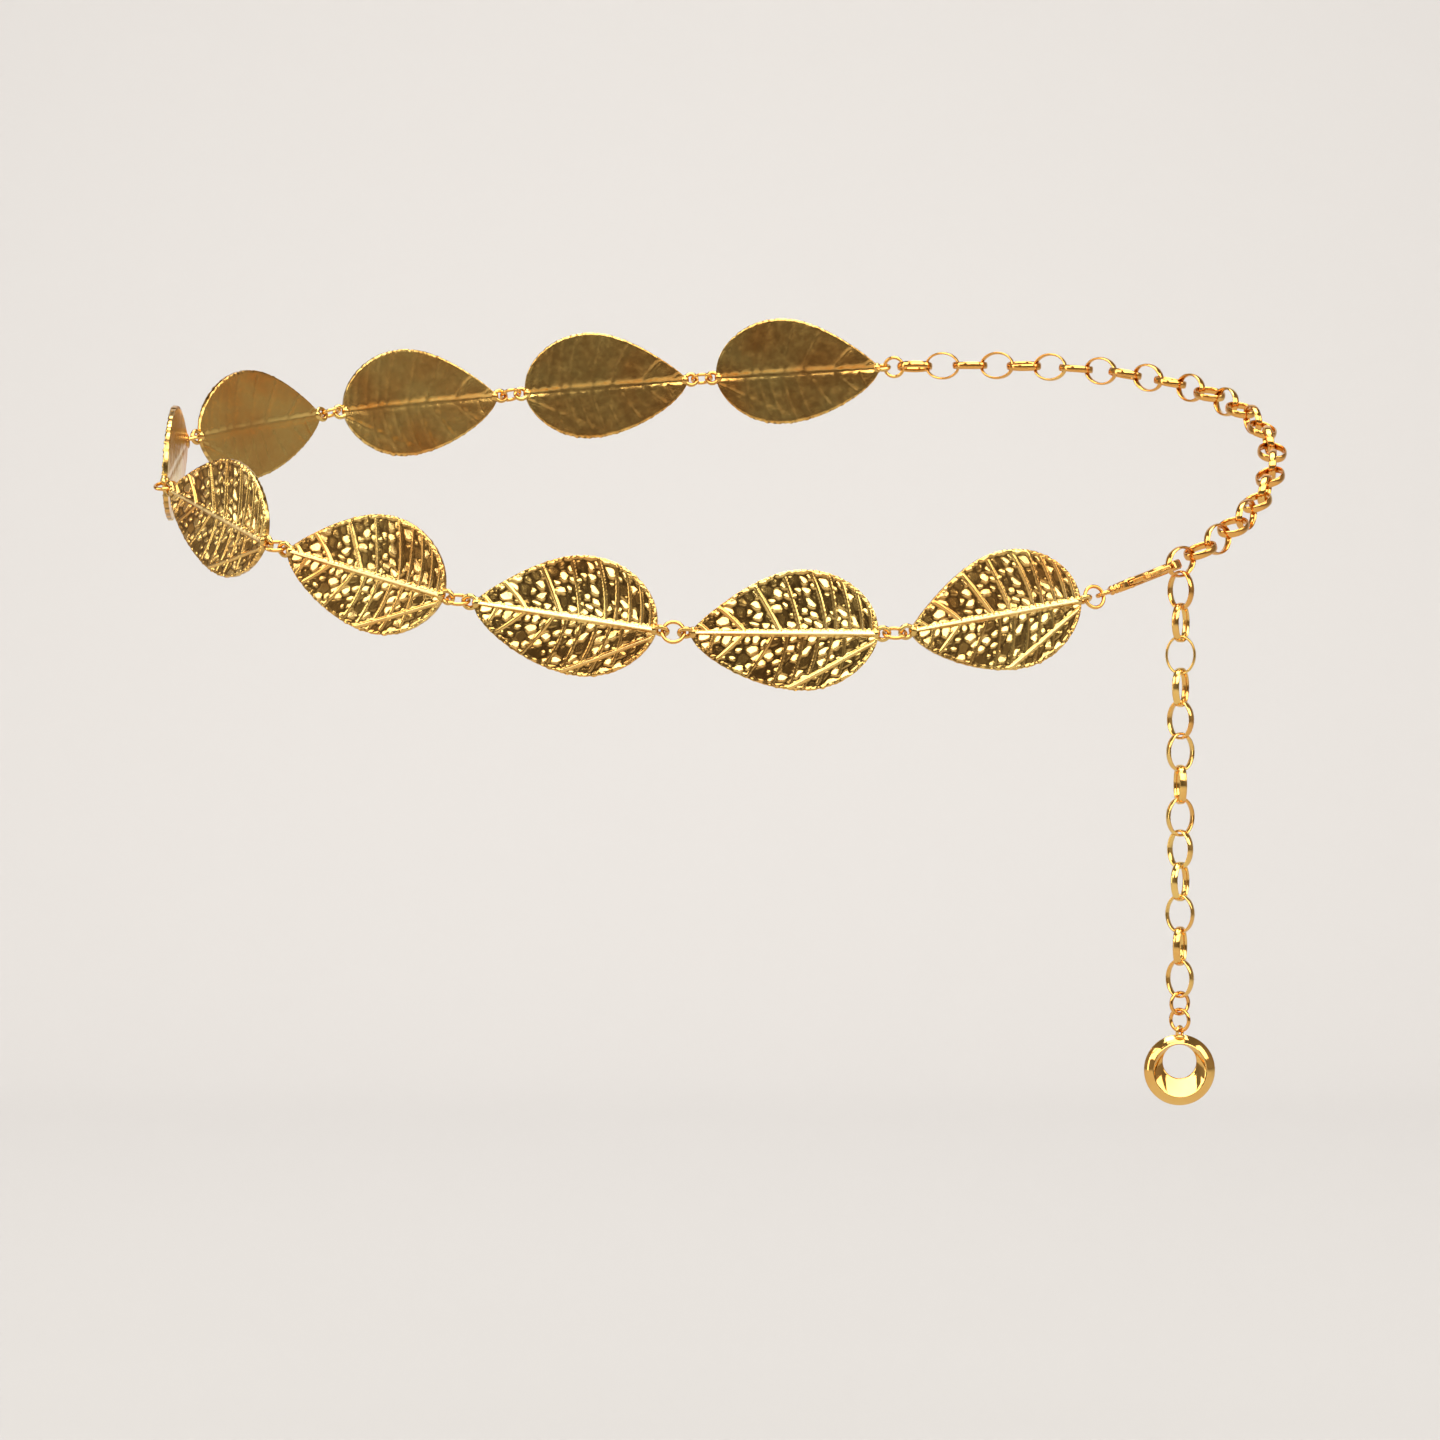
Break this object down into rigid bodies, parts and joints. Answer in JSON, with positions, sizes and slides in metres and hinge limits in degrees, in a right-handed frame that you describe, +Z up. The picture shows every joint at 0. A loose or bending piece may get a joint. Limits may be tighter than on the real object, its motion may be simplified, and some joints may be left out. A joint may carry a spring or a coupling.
{
  "type": "waist chain",
  "caption": "Metal waist chain of cast veined leaf plates on jump rings, closed by a lobster clasp hooked into an oval-link chain whose tail hangs down to a round drop.",
  "frame": {"origin": "middle of the waist opening, half way between the low front and the high back of the loop", "axes": "+X to the wearer's left hip, the picture's right, along the loop's width; front of the wearer towards -Y; +Z up"},
  "size_m": [0.3224, 0.2227, 0.2251],
  "materials": {
    "leaf_gold": "polished gold-tone plating on a cast veined relief",
    "ring_gold": "bright gold-tone plated wire",
    "clasp_gold": "polished gold-tone plating",
    "chain_gold": "polished gold-tone plated flat wire",
    "drop_gold": "mirror-polished gold-tone plating"
  },
  "bodies": {
    "root": {"leaf_1": "leaf_gold", "leaf_2": "leaf_gold", "leaf_3": "leaf_gold", "leaf_4": "leaf_gold", "leaf_5": "leaf_gold", "leaf_6": "leaf_gold", "leaf_7": "leaf_gold", "leaf_8": "leaf_gold", "leaf_9": "leaf_gold", "leaf_10": "leaf_gold", "ring_1": "ring_gold", "ring_2": "ring_gold", "ring_3": "ring_gold", "ring_4": "ring_gold", "ring_5": "ring_gold", "ring_6": "ring_gold", "ring_7": "ring_gold", "ring_8": "ring_gold", "ring_9": "ring_gold", "ring_10": "ring_gold", "clasp_ring": "ring_gold", "clasp_body": "clasp_gold", "belt_chain": "chain_gold", "tail_chain": "chain_gold", "tail_ring_upper": "ring_gold", "tail_ring_lower": "ring_gold"},
    "lever": {"clasp_lever": "clasp_gold"},
    "drop": {"round_drop": "drop_gold"}
  },
  "joints": [
    {"name": "lever_pivot", "type": "hinge", "parent": "root", "child": "lever", "pos_m": [0.11355, -0.07803, -0.02449], "axis": [-0.3701, 0.0342, 0.9284], "range_deg": [0, 22], "stiffness_Nm_per_rad": 0.0005, "springref_deg": -17.19},
    {"name": "drop_swing", "type": "hinge", "parent": "root", "child": "drop", "pos_m": [0.12826, -0.06507, -0.14794], "axis": [0.788, -0.6157, 0], "range_deg": [-40, 40]}
  ]
}
